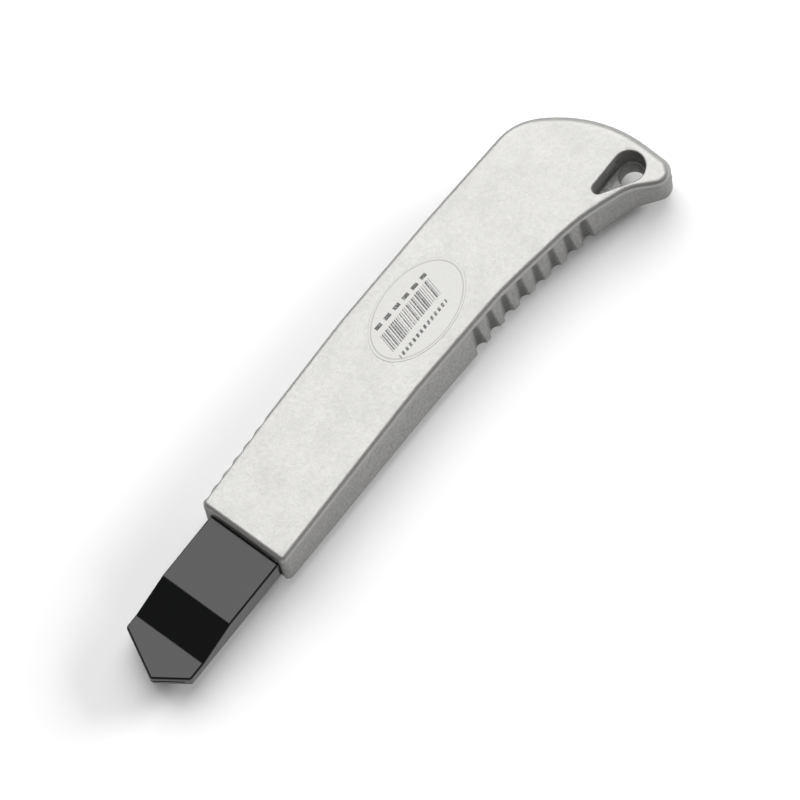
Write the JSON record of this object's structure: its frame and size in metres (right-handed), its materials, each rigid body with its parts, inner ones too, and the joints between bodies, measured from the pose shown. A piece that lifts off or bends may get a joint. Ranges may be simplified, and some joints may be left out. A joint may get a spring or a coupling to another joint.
{
  "type": "utility knife",
  "caption": "Snap-off utility knife with a cast metal body, hooked tail with a lanyard hole, black nose, spare-blade magazine and sliding thumb button.",
  "frame": {"origin": "middle of the knife's box, on the surface that the slider button touches when the knife lies with its broad face up", "axes": "+X from the nose to the tail, +Y towards the spine (the cutting edge faces -Y), +Z out of the broad face"},
  "size_m": [0.1772, 0.0422, 0.0171],
  "materials": {
    "cast_body": "tumbled die casting, satin",
    "cast_cover": "die cast, satin",
    "black_nose": "polished black",
    "blade_steel": "ground",
    "spring_steel": "tempered",
    "rivet_steel": "zinc plated",
    "screw_steel": "zinc plated",
    "dark_plastic": "moulded",
    "button_plastic": "fine texture",
    "button_rubber": "matt",
    "sticker": null
  },
  "bodies": {
    "body": {"casing": "cast_body", "back_cover": "cast_cover", "cover_screws": "screw_steel", "nose_housing": "black_nose", "guide_floor": "black_nose", "guide_screws": "screw_steel", "lock_rack": "spring_steel", "rack_rivets": "rivet_steel", "spare_blades": "blade_steel", "follower_spring": "spring_steel", "label": "sticker"},
    "slider": {"carriage": "dark_plastic", "blade": "blade_steel", "blade_hook": "rivet_steel", "hook_rivets": "rivet_steel", "lock_spring": "spring_steel", "spring_rivet": "rivet_steel"},
    "button": {"thumb_button": "button_plastic", "button_grip": "button_rubber", "button_retainer": "rivet_steel", "retainer_screw": "screw_steel"},
    "follower": {"follower_plate": "spring_steel"}
  },
  "joints": [
    {"name": "blade_slide", "type": "slide", "parent": "body", "child": "slider", "axis": [-1, 0, 0], "range_m": [-0.0187, 0.045]},
    {"name": "button_press", "type": "slide", "parent": "slider", "child": "button", "axis": [0, 0, 1], "range_m": [0, 0.0008], "stiffness_N_per_m": 5000, "springref_m": -0.0008, "deforming": ["lock_spring"]},
    {"name": "follower_lift", "type": "slide", "parent": "body", "child": "follower", "axis": [0, 0, 1], "range_m": [0, 0.001], "stiffness_N_per_m": 400, "springref_m": -0.004, "deforming": ["follower_spring"]}
  ]
}
